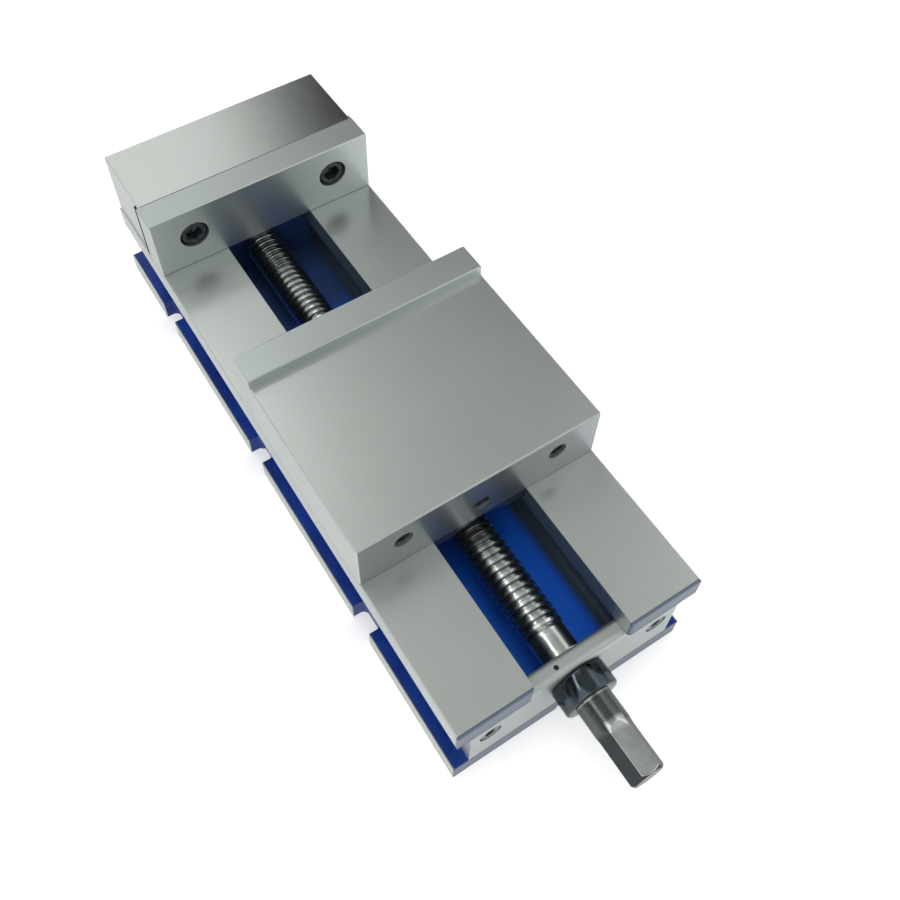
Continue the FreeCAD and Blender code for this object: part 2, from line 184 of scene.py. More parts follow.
print("shader helpers ready")

# %% [markdown]
# ## The room that the steel shows
# Polished steel has no colour of its own: it shows the room. So the room matters more here than on a painted
# object. A photograph of a studio could be wrapped round the scene, but a few soft fields on an even grey dome
# do the same and can be placed one by one. Each is a patch around a direction that fades out at its edge. The
# pale ones behind the vise and the dark one beside them give the tops their slow change from pale to grey. The
# dome turns nearly white near the horizon, and the camera sees plain white.

# %% World
world = bpy.data.worlds.new("studio")
bpy.context.scene.world = world
sky = Tree(world)
direction = sky.node("ShaderNodeTexCoord", out="Generated")


def field(towards, inner, outer):
    """1 inside an angle in degrees around a direction, fading to 0 at the outer one."""
    facing = sky.node("ShaderNodeVectorMath", {"operation": "DOT_PRODUCT"},
                      {0: direction, 1: tuple(Vector(towards).normalized())}, out="Value")
    return facing.rise(math.cos(math.radians(outer)), math.cos(math.radians(inner)))


soft_fields = (  # how much lighter or darker, its direction, and the degrees where it starts to fade and ends
    (0.62, (-0.02, 0.80, 0.62), 13, 22),    # left end of the fixed jaw's top
    (0.80, (0.02, 0.50, 0.86), 5, 14),      # left edge of the movable jaw's top
    (-0.10, (0.34, 0.45, 0.83), 4, 12),     # its middle
    (-0.12, (0.17, 0.34, 0.93), 4, 13),     # the rails in front of it
    (-0.52, (0.62, 0.68, 0.52), 18, 24),    # right end of the fixed jaw's top
    (-0.42, (-0.60, 0.15, 0.75), 15, 24),   # left flank of the screw
    (0.50, (0.50, -0.60, 0.66), 8, 20),     # from the front right
    (-0.40, (0.90, 0.15, 0.45), 12, 24),    # right flank of the screw
)
dome_grey, zenith_loss, horizon_glow = 0.53, 0.04, 0.44
height = sky.node("ShaderNodeSeparateXYZ", {}, {0: direction}, out="Z")
dome = dome_grey - zenith_loss * height
for amount, towards, inner, outer in soft_fields:
    dome = dome + amount * field(towards, inner, outer)
dome = dome + horizon_glow * height.rise(0.42, 0.12)
dome_colour = sky.node("ShaderNodeCombineColor", {}, {0: dome * 0.985, 1: dome, 2: dome * 0.99})
studio_light = sky.node("ShaderNodeBackground", {}, {"Color": dome_colour, "Strength": 1.0})
white = sky.node("ShaderNodeBackground", {}, {"Color": (1, 1, 1, 1), "Strength": 1.0})
seen = sky.node("ShaderNodeLightPath", out="Is Camera Ray")
sky.finish(sky.node("ShaderNodeMixShader", {}, {0: seen, 1: studio_light, 2: white}), "ShaderNodeOutputWorld")
print("world with", len(soft_fields), "soft fields")

# %% [markdown]
# ## The floor
# A pale sheet under the vise takes its shadow. To look like white paper under lamps that aren't strong enough
# to make it white, it also glows a little, but only for the rays that look at it: those of the camera, and
# those that metal and glass send. So the glow lights nothing. It grows towards the far edge, which the lamps
# don't reach, so that floor and background meet without a line.

# %% Floor
floor_reach = 3.0
floor_grey, near_glow, far_glow = 0.80, 0.34, 0.74
bm = bmesh.new()
bmesh.ops.create_grid(bm, x_segments=1, y_segments=1, size=floor_reach)
floor_mesh = bpy.data.meshes.new("floor")
bm.to_mesh(floor_mesh)
bm.free()
floor = bpy.data.objects.new("floor", floor_mesh)
bpy.context.scene.collection.objects.link(floor)

floor_look = bpy.data.materials.new("pale_floor")
paper = Tree(floor_look)
from_camera, from_gloss, from_glass = (paper.node("ShaderNodeLightPath", out=kind) for kind in (
    "Is Camera Ray", "Is Glossy Ray", "Is Transmission Ray"))
_, (floor_x, floor_y, _) = paper.place()
far = ((floor_x * floor_x + floor_y * floor_y) ** 0.5).rise(0.6, 2.2)
glow = (from_camera + from_gloss + from_glass).smaller(1.0) * (far * (far_glow - near_glow) + near_glow)
paper.finish(paper.surface({"Base Color": shade(floor_grey), "Roughness": 0.9, "Specular IOR Level": 0.2,
                            "Emission Color": shade(1.0), "Emission Strength": glow}))
floor_mesh.materials.append(floor_look)
print("floor", floor_reach * 2, "m wide")

# %% [markdown]
# ## The lamps
# Two broad lamps from the front give the paint its colour and put a soft shadow under the vise. They are wide,
# so that polished steel that mirrors them doesn't burn out from any side. A small one overhead lights the paint
# in the channel and is left out of the mirrored picture. A narrow strip over the screw draws the bright line
# along it: on a round bar a strip stays a line, where a square lamp would be a blot.

# %% Lamps
def lamp(name, place, target, width, height, watts):
    """A soft lamp that points at a target and isn't seen itself."""
    data = bpy.data.lights.new(name, "AREA")
    data.shape, data.size, data.size_y, data.energy = "RECTANGLE", width, height, watts
    obj = bpy.data.objects.new(name, data)
    aim = (Vector(target) - Vector(place)).to_track_quat("-Z", "Y")
    obj.matrix_world = Matrix.Translation(place) @ aim.to_matrix().to_4x4()
    obj.visible_camera = False
    bpy.context.scene.collection.objects.link(obj)
    return obj


key = lamp("key_lamp", (-1.1, -1.0, 1.5), (0, -0.15, 0.05), 2.0, 2.0, 17.0)
fill = lamp("fill_lamp", (1.3, -0.6, 1.2), (0, -0.15, 0.05), 1.5, 1.5, 7.0)
top = lamp("top_lamp", (0.05, -0.25, 1.4), (0, -0.2, 0.0), 0.6, 0.6, 5.0)
top.visible_glossy = False
strip = lamp("strip_lamp", (-0.38, 0.15, 1.10), (0, -0.25, 0.05), 1.0, 0.08, 1.7)
print("lamps", *(one.data.energy for one in (key, fill, top, strip)), "W")

# %% [markdown]
# ## Ground steel
# A surface grinder leaves a satin that is nearly a mirror: very fine parallel lines, and slow clouds where
# the wheel or the oil left the surface a little duller. Lines could be an image, but noise that is stretched
# along the grinding direction follows any size of part. The lines go into roughness and a bump of a few
# micrometres, the clouds into colour and roughness. A ground face also has two mirrors in one: a clear picture
# of the room inside a wide haze. One shader has only one width, so two are mixed. Ends that are only milled
# are a darker grey with a bluish tint, which is a painted reflection of the blue paint, and so is the thin
# line of oil where a plate or the jaw stands on the rails.

# %% Ground steel
warm, cool = (0.95, 1.0, 0.955), (0.925, 1.0, 0.985)
# The milled greys are bluish as a painted reflection of the blue paint.
milled_reflect_dark, milled_reflect_pale = (0.14, 0.165, 0.22, 1), (0.20, 0.235, 0.30, 1)
haze_width = 0.30


def ground_steel(tree, where, level, gloss, along, tint=warm, haze=0.45, milled=0.0, relief=0.4):
    """A ground surface; along stretches its lines, haze is the share of the wide mirror, milled is 1 where
    it is only milled."""
    lines = tree.noise(where, 2600.0, 2.0, along)
    bands = tree.noise(where, 260.0, 2.0, along)
    clouds = tree.noise(where, 16.0, 3.0)
    tone = (clouds - 0.5) * 0.5 + (bands - 0.5) * 0.10 + 0.5
    colour = tree.mix(tone.smaller(1.0).larger(0.0), shade(level * 0.93, tint), shade(level * 1.09, tint))
    colour = tree.mix(milled, colour, tree.mix(tone, milled_reflect_dark, milled_reflect_pale))
    rough = gloss + (clouds - 0.5) * 0.07 + (lines - 0.5) * 0.08
    sockets = {"Base Color": colour, "Metallic": 1.0, "Specular Tint": shade(0.75),
               "Normal": tree.bump(lines, 0.005 * mm, relief)}
    sharp, broad = (tree.surface({**sockets, "Roughness": value}) for value in (rough, rough + haze_width))
    return tree.node("ShaderNodeMixShader", {}, {0: haze, 1: sharp, 2: broad})


def simple_finish(name, build):
    """A material whose tree is filled by build(tree, where, x, y, z)."""
    material = bpy.data.materials.new(name)
    tree = Tree(material)
    where, (x, y, z) = tree.place()
    tree.finish(build(tree, where, x, y, z))
    return material


def foot_line(z):
    """1 on the lowest bit of a piece that stands on the rails."""
    return z.rise(rail_top + 0.7 * mm, rail_top + 0.3 * mm)


across, lengthwise = (0.01, 1.0, 1.0), (1.0, 0.01, 1.0)
jaw_outer_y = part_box("movable_jaw")[0].y


def jaw_finish(tree, where, x, y, z):
    """The movable jaw: ground, but its outer face is partly milled."""
    outer_face = y.rise(jaw_outer_y + 0.3 * mm, jaw_outer_y + 0.1 * mm) * 0.4
    return ground_steel(tree, where, 0.56, 0.24, lengthwise, milled=outer_face.larger(foot_line(z)))


plate_steel = simple_finish("plate_steel", lambda t, w, x, y, z: ground_steel(
    t, w, 0.53, 0.21, across, cool, 0.72, foot_line(z)))
jaw_steel = simple_finish("jaw_steel", jaw_finish)
front_steel = simple_finish("front_steel", lambda t, w, x, y, z: ground_steel(
    t, w, 0.50, 0.30, across, cool, 0.6, relief=0.1))
print("ground steel ready")

# %% [markdown]
# ## Blue paint
# All of the bed that isn't machined has a thick coat of blue enamel. It follows the rough sand cast skin, so
# it has an orange peel, uneven patches and fine grit, whose specks are also lighter in colour as painted
# glints.
# In the channel the blue is made lighter, as painted light, and on the outside it is deeper. Where shade falls
# under and beside the rails and towards the back of the channel, painted shade makes it nearly black, and so do
# the dark joint lines on the front end. A glossy coat over a flat colour would look like plastic, so three
# noises of different size shape the bump, and the gloss is low.

# %% Paint
# The last of these blues is lighter to stand for the light in the channel: painted light.
old_blue, worn_blue, lit_channel_blue = (0.0032, 0.027, 0.185, 1), (0.0055, 0.041, 0.260, 1), (0.010, 0.125, 0.70, 1)
# The near-black grey is painted shade, and also the colour of the dark joint lines.
shade_and_joint_grey, glint_blue = (0.040, 0.060, 0.090, 1), (0.20, 0.34, 0.65, 1)


def blue_paint(tree, where, channel_light, shade_and_joints):
    """Thick machine enamel over a cast skin; lighter, as painted light, where the first mask is 1,
    and nearly black, as painted shade and dark joint lines, where the second is 1.
    """
    skin = tree.noise(where, 140.0, 4.0)
    peel = tree.noise(where, 900.0, 2.0)
    patches = tree.noise(where, 34.0, 3.0)
    grit_and_glint = tree.noise(where, 1300.0, 1.0).rise(0.68, 0.74)
    colour = tree.mix(patches.rise(0.35, 0.65), old_blue, worn_blue)
    # Lighter blue in the channel: painted light.
    colour = tree.mix(channel_light, colour, lit_channel_blue)
    # Nearly black where shade falls, as painted shade, and on the dark joint lines.
    colour = tree.mix(shade_and_joints, colour, shade_and_joint_grey)
    # Specks of grit are lightened in colour: a painted glint.
    colour = tree.mix(grit_and_glint * 0.4, colour, glint_blue)
    relief = tree.bump(skin + peel * 0.35 + grit_and_glint * 0.5, 0.4 * mm, 0.8)
    return tree.surface({"Base Color": colour, "Roughness": 0.42 + (patches - 0.5) * 0.18 + shade_and_joints * 0.10,
                         "Specular IOR Level": 0.22, "Coat Weight": 0.06, "Coat Roughness": 0.15,
                         "Normal": relief})


print("paint ready")

# %% [markdown]
# ## The casting
# The bed is one casting, painted first and machined after. Its working faces are bare: the tops, ends and
# sides of the rails, the jaw block and the edge of the flange. Two materials could be split over groups of
# faces, but the solid keeps one slot, so the choice is made in the shader from the place of the point: each
# machined face lies on a known plane. A little noise on the height lets the edge of the paint waver. On the
# front end, thin dark lines mark where the rails and the flange meet the front plate.

# %% Casting
rail_under, flange_top, block_back = 62.5 * mm, 16.0 * mm, 75.5 * mm
half_slot, half_channel = 32.0 * mm, 48.0 * mm


def casting(tree, where, x, y, z):
    """Ground steel on the machined planes, paint elsewhere; a mask is 1 on its faces and soft at its edge."""
    half_width, side = bed_high.x, x.size()
    wobble = (tree.noise(where, 300.0, 3.0) - 0.5) * (1.2 * mm)
    tops = (z + wobble).rise(rail_top - 1.3 * mm, rail_top - 0.9 * mm)
    sides = side.rise(half_width - 0.75 * mm, half_width - 0.45 * mm)
    ends = (y + wobble * 0.2).rise(bed_low.y + 1.9 * mm, bed_low.y + 1.6 * mm)
    back = y.rise(block_back - 0.5 * mm, block_back - 0.3 * mm)
    back = back * z.rise(rail_under - 0.5 * mm, rail_under + 0.5 * mm)
    under = z.rise(0.6 * mm, 0.3 * mm)
    nose = (y + wobble * 2.0).rise(bed_low.y + 14.5 * mm, bed_low.y + 13.8 * mm)
    nose = nose * side.rise(half_slot + 3.0 * mm, half_slot + 2.5 * mm)
    nose = nose * z.rise(rail_under + 0.1 * mm, rail_under + 0.9 * mm)
    bare = tops.larger(sides).larger(ends).larger(back).larger(under).larger(nose)
    jaw_top = z.rise(bed_high.z - 1.2 * mm, bed_high.z - 0.8 * mm)
    steel = ground_steel(tree, where, 0.56, 0.24 - 0.10 * jaw_top, lengthwise, warm,
                         0.45 - 0.35 * jaw_top, ends)
    channel = side.rise(half_channel + 1.0 * mm, half_channel + 0.4 * mm)
    channel = channel * z.rise(flange_top - 1.0 * mm, flange_top - 0.2 * mm)
    channel = channel * y.rise(block_back + 0.5 * mm, block_back - 3.5 * mm)
    # Painted shade in the channel: nearly black under the overhang of the rails, on their inner sides and
    # towards the back.
    rail_sides = z.rise(rail_under - 0.5 * mm, rail_under)
    back_end = y.rise(-70.0 * mm, -25.0 * mm) * 0.8
    shade_and_joints = channel * side.rise(34.0 * mm, 42.0 * mm).larger(rail_sides).larger(back_end)
    under_rail = z.rise(rail_under + 2.1 * mm, rail_under + 1.5 * mm)
    under_rail = under_rail * z.rise(rail_under - 0.5 * mm, rail_under - 0.1 * mm)
    over_flange = z.rise(flange_top - 2.2 * mm, flange_top - 1.6 * mm)
    over_flange = over_flange * z.rise(flange_top + 0.4 * mm, flange_top + 0.1 * mm)
    joint = ends * under_rail.larger(over_flange)
    # The channel gets the lighter blue as painted light, and the painted shade and the joint lines darken it.
    paint = blue_paint(tree, where, channel * (1.0 - joint), shade_and_joints.larger(joint))
    return tree.node("ShaderNodeMixShader", {}, {0: bare * (1.0 - joint), 1: paint, 2: steel})


bed_casting = simple_finish("bed_casting", casting)
print("casting ready")

# %% [markdown]
# ## Small finishes
# The screws are black oxide steel, a thin matt oxide under oil. The collar is dark, hardened and polished on
# a lathe, so its lines run round it: the noise reads the distance from the axis and the place along it, and so
# is the same all the way round. The screw is bright steel with oil in the bottom of the thread. Outside the
# collar its colour is darkened as a painted reflection of dark surroundings, and the top flat of the hexagon
# is kept bright as a painted highlight. Bronze and hardened parts hardly show, and get short versions of the
# same idea.

# %% Black oxide, turned steel, bronze
axis_z = (screw_low.z + screw_high.z) / 2
thread_start, collar_front, flats_from = -330.0 * mm, -371.0 * mm, -386.0 * mm
# The second colour is the painted reflection of dark surroundings outside the collar.
oil_dark, painted_reflection_dark = (0.06, 0.06, 0.055, 1), (0.022, 0.028, 0.031, 1)


def black_oxide(tree, where, x, y, z):
    """Matt oxide with a little oil on it."""
    clouds = tree.noise(where, 240.0, 3.0)
    grain = tree.noise(where, 2600.0, 2.0)
    colour = tree.mix(clouds.rise(0.35, 0.65), (0.012, 0.016, 0.020, 1), (0.034, 0.041, 0.048, 1))
    return tree.surface({"Base Color": colour, "Metallic": 0.55, "Roughness": 0.34 + (grain - 0.5) * 0.25,
                         "Coat Weight": 0.3, "Coat Roughness": 0.25,
                         "Normal": tree.bump(grain, 0.02 * mm, 0.5)})


def turned(level, gloss, tint=(1.0, 1.0, 1.0), stain_and_light=None):
    """Steel turned about the screw's axis; its last argument, a function of (colour, tree, reach, y, z), may
    change its colour with stains and painted light.
    """
    def build(tree, where, x, y, z):
        reach = (x * x + (z - axis_z) * (z - axis_z)) ** 0.5
        rings = tree.node("ShaderNodeCombineXYZ", {}, {0: reach, 1: y, 2: 0.0})
        lines = tree.noise(rings, 2400.0, 2.0)
        clouds = tree.noise(where, 90.0, 3.0)
        colour = tree.mix(clouds.rise(0.3, 0.7), shade(level * 0.86, tint), shade(level * 1.08, tint))
        if stain_and_light:
            colour = stain_and_light(colour, tree, reach, y, z)
        rough = gloss + (lines - 0.5) * 0.08 + (clouds - 0.5) * 0.08
        return tree.surface({"Base Color": colour, "Metallic": 1.0, "Roughness": rough,
                             "Specular Tint": shade(0.7), "Normal": tree.bump(lines, 0.008 * mm, 0.4)})
    return build


def screw_oil_and_painted_light(colour, tree, reach, y, z):
    """Oil in the roots of the thread; outside the collar a painted reflection of dark surroundings, and a
    painted highlight on the top flat of the hexagon.
    """
    oil = reach.rise(12.4 * mm, 11.0 * mm) * y.rise(thread_start, thread_start + 2.0 * mm) * 0.20
    colour = tree.mix(oil, colour, oil_dark)
    # Outside the collar the colour is darkened: a painted reflection of dark surroundings.
    outside = y.rise(collar_front, collar_front - 1.0 * mm)
    # The top flat of the hexagon stays bright: a painted highlight.
    top_flat_highlight = (z - axis_z).rise(9.1 * mm, 9.4 * mm) * y.rise(flats_from + 2.0 * mm, flats_from - 2.0 * mm)
    dark = outside * (y.rise(flats_from, flats_from - 6.0 * mm) * 0.11 + 0.85) * (1.0 - top_flat_highlight * 0.85)
    return tree.mix(dark, colour, painted_reflection_dark)


black_screw = simple_finish("black_screw", black_oxide)
# A matt near-black for the painted shade in the corner beside the fixed plate.
painted_shade_black = simple_finish("painted_shade_black", lambda t, w, x, y, z: t.surface({
    "Base Color": t.mix(t.noise(w, 400.0, 2.0), (0.008, 0.010, 0.009, 1), (0.022, 0.026, 0.023, 1)),
    "Roughness": 0.95, "Specular IOR Level": 0.03}))
bright_screw = simple_finish("bright_screw", turned(0.60, 0.24, (0.95, 1.0, 0.965), screw_oil_and_painted_light))
dark_collar = simple_finish("dark_collar", turned(0.075, 0.13, (0.82, 1.0, 1.15)))
hard_steel = simple_finish("hard_steel", turned(0.55, 0.16))
bronze = simple_finish("bronze", lambda t, w, x, y, z: t.surface({
    "Base Color": t.mix(t.noise(w, 300.0).rise(0.3, 0.7), (0.42, 0.25, 0.09, 1), (0.56, 0.36, 0.14, 1)),
    "Metallic": 1.0, "Roughness": 0.30 + (t.noise(w, 900.0) - 0.5) * 0.2}))
nut_iron = simple_finish("nut_iron", lambda t, w, x, y, z: ground_steel(t, w, 0.34, 0.36, across))
print("small finishes ready")

# %% [markdown]
# ## Dressing the solids
# Plates, jaw block, bed and nut have their real shapes already. They could be modelled again with finer edges,
# but that would only copy them, so they keep their own meshes and get new materials in their slots.

# %% Materials on the solids
finishes = {
    "vise_body": bed_casting, "fixed_jaw_plate": plate_steel, "movable_jaw_plate": plate_steel,
    "movable_jaw": jaw_steel, "front_plate": front_steel, "jaw_nut": nut_iron, "lock_segment": hard_steel,
    "front_bush": bronze, "front_plate_dowels": hard_steel, "thrust_bearing": hard_steel,
    "tail_clip": black_screw, "collar_set_screw": black_screw,
}
for node, finish in finishes.items():
    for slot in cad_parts[node].material_slots:
        slot.material = finish
print(len(finishes), "solids dressed")

# %% [markdown]
# ## Making pieces
# A new piece starts in a bmesh and ends as an object at the origin that rides on a body of the part. Three
# helpers do most of the work: one spins an outline of (y, r) points about an axis along Y, as a lathe does, one
# adds a finished part to a piece, and one stores the mesh. Primitives of the editor would need moving and
# joining by hand for each of them. Edges sharper than 30 degrees stay crisp, all else shades smooth.

# %% Helpers for pieces
def store(name, bm, material, body, slot, *replaced):
    """The mesh as an object that rides on a body."""
    mesh = bpy.data.meshes.new(name)
    bmesh.ops.recalc_face_normals(bm, faces=bm.faces)
    bm.to_mesh(mesh)
    bm.free()
    mesh.materials.append(material)
    mesh.shade_smooth()
    mesh.set_sharp_from_angle(angle=math.radians(30))
    obj = bpy.data.objects.new(name, mesh)
    bpy.context.scene.collection.objects.link(obj)
    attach(obj, body)
    if replaced:
        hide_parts(*replaced)
    print(name, len(mesh.polygons), "faces")
    return obj


def outline(bm, points, x=0.0, z=0.0):
    """A chain of edges through (y, r) points, with r measured upwards from (x, z)."""
    verts = [bm.verts.new((x, y, z + r)) for y, r in points]
    return verts + [bm.edges.new(pair) for pair in zip(verts, verts[1:])]


def lathe(bm, points, x=0.0, z=0.0, steps=64):
    """Spins an outline about the line along Y through (x, z); an end on the axis becomes a pole."""
    bmesh.ops.spin(bm, geom=outline(bm, points, x, z), cent=(x, 0, z), axis=(0, 1, 0),
                   angle=2 * math.pi, steps=steps, use_merge=True)
    bmesh.ops.remove_doubles(bm, verts=bm.verts, dist=1e-6)


def add_part(bm, part):
    """Adds the bmesh of one part to that of a piece."""
    passing = bpy.data.meshes.new("passing")
    part.to_mesh(passing)
    part.free()
    bm.from_mesh(passing)
    bpy.data.meshes.remove(passing)


def close_holes(bm):
    """Fills every open loop of edges."""
    bmesh.ops.holes_fill(bm, edges=[e for e in bm.edges if e.is_boundary], sides=0)


print("piece helpers ready")

# %% [markdown]
# ## The joint beside the fixed plate
# The plate is a little wider than the block behind it. The corner between them lies in shade, which reads as
# a dark line at the end of the jaw. A mask on the block can't show it, because the plate's edge hides the
# corner from the front. So the shade is painted as a thin dark upright bar at each end, a scaled cube that
# stays inside the plate's outline.

# %% Joint line
bar_x, bar_wide, bar_deep, bar_short = 79.35 * mm, 1.1 * mm, 4.0 * mm, 3.0 * mm
bar_y, bar_z = plate_high.y + bar_deep / 2 + 0.05 * mm, (rail_top + plate_high.z) / 2
bm = bmesh.new()
for side in (-1, 1):
    place = Matrix.Translation((side * bar_x, bar_y, bar_z))
    size = Matrix.Diagonal((bar_wide, bar_deep, plate_high.z - rail_top - bar_short, 1.0))
    bmesh.ops.create_cube(bm, size=1.0, matrix=place @ size)
store("fixed_plate_joint", bm, painted_shade_black, "bed", "black_screws")

# %% [markdown]
# ## The screw
# A trapezoidal thread of 26 mm and 5 mm pitch, left-handed, so that turning the handle clockwise closes the
# jaw. A screw modifier could sweep it, but a spin with a step along its axis does the same in one operator:
# the whole row of teeth goes once round and one pitch forward, so each tooth ends where the next one began.
# Where the cutting tool left the bar, the thread fades out over a turn: the vertices there move to the radius
# of the plain shank, which is a little thinner than the thread.

# %% Thread
pitch = 5.0 * mm
root_r = 10.5 * mm
shank_r = 11.8 * mm
thread_end = 21.0 * mm
thread_steps = 40

# one tooth as (y, r) in mm: crest, flank down, root, flank up
one_pitch = [(0.0, 13.0), (1.75, 13.0), (1.9, 12.85), (2.45, 10.65), (2.6, 10.5),
             (4.15, 10.5), (4.3, 10.65), (4.85, 12.85)]
spare = 3  # teeth beyond both ends, cut off below
turns = math.ceil((thread_end - thread_start) / pitch) + spare
bm = bmesh.new()
teeth = [(thread_start + (i - 1) * pitch + y * mm, r * mm) for i in range(turns) for y, r in one_pitch]
bmesh.ops.spin(bm, geom=outline(bm, teeth, 0.0, axis_z), cent=(0, 0, axis_z), axis=(0, 1, 0),
               dvec=(0, pitch / thread_steps, 0), angle=-2 * math.pi, steps=thread_steps)
bmesh.ops.remove_doubles(bm, verts=bm.verts, dist=1e-5)
for v in bm.verts:
    reach = math.hypot(v.co.x, v.co.z - axis_z)
    fade = min(1.0, max(0.0, (thread_start + 1.3 * pitch - v.co.y) / pitch))
    grow = (reach + (shank_r - reach) * fade) / reach
    v.co.x, v.co.z = v.co.x * grow, axis_z + (v.co.z - axis_z) * grow
for y, side in ((thread_start, 1), (thread_end, -1)):
    everything = bm.verts[:] + bm.edges[:] + bm.faces[:]
    bmesh.ops.bisect_plane(bm, geom=everything, plane_co=(0, y, 0), plane_no=(0, -side, 0), clear_outer=True)
close_holes(bm)
print("thread of", turns, "teeth,", len(bm.faces), "faces")

# %% [markdown]
# ## The screw's turned and milled ends
# Behind the front plate the bar is plain, in front of it a thinner journal runs out to the hexagon. The real
# hexagon is milled on the round bar: each flat ends in the curve of the cutter. A boolean could cut it, but
# would leave long thin faces. So the end is spun as a round bar with many rings, and every vertex then moves in
# to the nearest flat, whose depth follows the cutter's circle where it runs out. A cone does the same for the
# turned chamfer at the tip.

# %% Hexagon and journal
tip_y, journal_r = screw_low.y, 11.0 * mm
flat_distance, flat_end, cutter_r = 9.5 * mm, tip_y + 25.0 * mm, 12.0 * mm
tip_r, tip_slope, tip_length = 9.1 * mm, 1.1, 2.5 * mm
tip_rings, hexagon_rings = 8, 60
round_bar_end = tip_y + 34.0 * mm


def length_along(edge):
    """How far an edge goes along the screw."""
    return abs(edge.verts[0].co.y - edge.verts[1].co.y)


end = bmesh.new()
lathe(end, [(tip_y, journal_r), (tip_y + tip_length, journal_r), (round_bar_end, journal_r)], 0.0, axis_z, 96)
near_tip = [e for e in end.edges if mm < length_along(e) < 2 * tip_length]
bmesh.ops.subdivide_edges(end, edges=near_tip, cuts=tip_rings, use_grid_fill=True)
beyond = [e for e in end.edges if length_along(e) > 2 * tip_length]
bmesh.ops.subdivide_edges(end, edges=beyond, cuts=hexagon_rings, use_grid_fill=True)
for v in end.verts:
    angle = math.atan2(v.co.z - axis_z, v.co.x)
    from_flat = angle % (math.pi / 3) - math.pi / 6
    run_out = min(max(v.co.y - flat_end, 0.0), cutter_r)
    flat = flat_distance + cutter_r - math.sqrt(cutter_r ** 2 - run_out ** 2)
    cone = tip_r + (v.co.y - tip_y) * tip_slope
    grow = min(journal_r, flat / math.cos(from_flat), cone) / journal_r
    v.co.x, v.co.z = v.co.x * grow, axis_z + (v.co.z - axis_z) * grow
close_holes(end)
print("hexagon end", len(end.faces), "faces")

# %% [markdown]
# ## One screw
# The thread, the hexagon and the plain lengths between and behind them make one piece. They could be welded
# ring to ring, but closed shapes that meet end to end look the same and each keeps its own number of steps.

# %% Join the screw
add_part(bm, end)
shank_start = -344.0 * mm
tail_r, tail_start, tail_end = 9.0 * mm, 22.0 * mm, screw_high.y
for points in (
    [(round_bar_end, 0.0), (round_bar_end, journal_r), (shank_start, journal_r),
     (shank_start, shank_r), (thread_start, shank_r), (thread_start, 0.0)],
    [(thread_end, 0.0), (thread_end, root_r), (tail_start, root_r), (tail_start, tail_r),
     (tail_end - mm, tail_r), (tail_end, tail_r - mm), (tail_end, 0.0)],
):
    lathe(bm, points, 0.0, axis_z)
store("lead_screw_threaded", bm, bright_screw, "screw", "screw_steel", "lead_screw")

# %% [markdown]
# ## The collar
# A short hardened ring. A cylinder with a hole cut in it would do, but spinning the outline of its wall gives
# the ring in one step, and a bevel rounds its outer edges the way a lathe file would.

# %% Collar
collar_low, collar_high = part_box("screw_collar")
collar_r = (collar_high.x - collar_low.x) / 2
collar_edge = 1.3 * mm


def on_outer_rim(edge):
    """True for the edges of the collar's two outer circles."""
    a, b = (v.co for v in edge.verts)
    return (edge.calc_face_angle(0) > 1 and abs(a.y - b.y) < 1e-6
            and abs(math.hypot(a.x, a.z - axis_z) - collar_r) < 1e-5)


bm = bmesh.new()
lathe(bm, [(collar_low.y, journal_r), (collar_low.y, collar_r), (collar_high.y, collar_r),
           (collar_high.y, journal_r), (collar_low.y, journal_r)], 0.0, axis_z, 96)
rims = [e for e in bm.edges if on_outer_rim(e)]
bmesh.ops.bevel(bm, geom=rims, offset=collar_edge, segments=4, profile=0.5, affect="EDGES", material=-1)
store("screw_collar_turned", bm, dark_collar, "screw", "collar_steel", "screw_collar")

# %% [markdown]
# ## Socket head cap screws
# Two screws hold each jaw plate and two hold the front plate. What shows is a knurled head with a broken edge
# and a hexagonal socket. A boolean could cut the socket, but bridging a subdivided hexagon to a circle with
# the same number of vertices gives clean faces. The rings are then extruded: the hexagon down, the rim out,
# down the knurled side and in to the shank.

# %% Cap screws
def ring_of(bm, radius, segments, cuts, z):
    """A closed loop of edges: a circle, or a polygon with its sides cut."""
    known = set(bm.edges)
    bmesh.ops.create_circle(bm, cap_ends=False, segments=segments, radius=radius,
                            matrix=Matrix.Translation((0, 0, z)))
    if cuts:
        bmesh.ops.subdivide_edges(bm, edges=[e for e in bm.edges if e not in known], cuts=cuts)
    return [e for e in bm.edges if e not in known]


def push(bm, edges, scale, drop):
    """Extrudes a loop, scales it about the screw's axis and lowers it."""
    made = bmesh.ops.extrude_edge_only(bm, edges=edges)["geom"]
    verts = [g for g in made if isinstance(g, bmesh.types.BMVert)]
    bmesh.ops.scale(bm, vec=(scale, scale, 1), verts=verts)
    bmesh.ops.translate(bm, vec=(0, 0, -drop), verts=verts)
    return [g for g in made if isinstance(g, bmesh.types.BMEdge)]


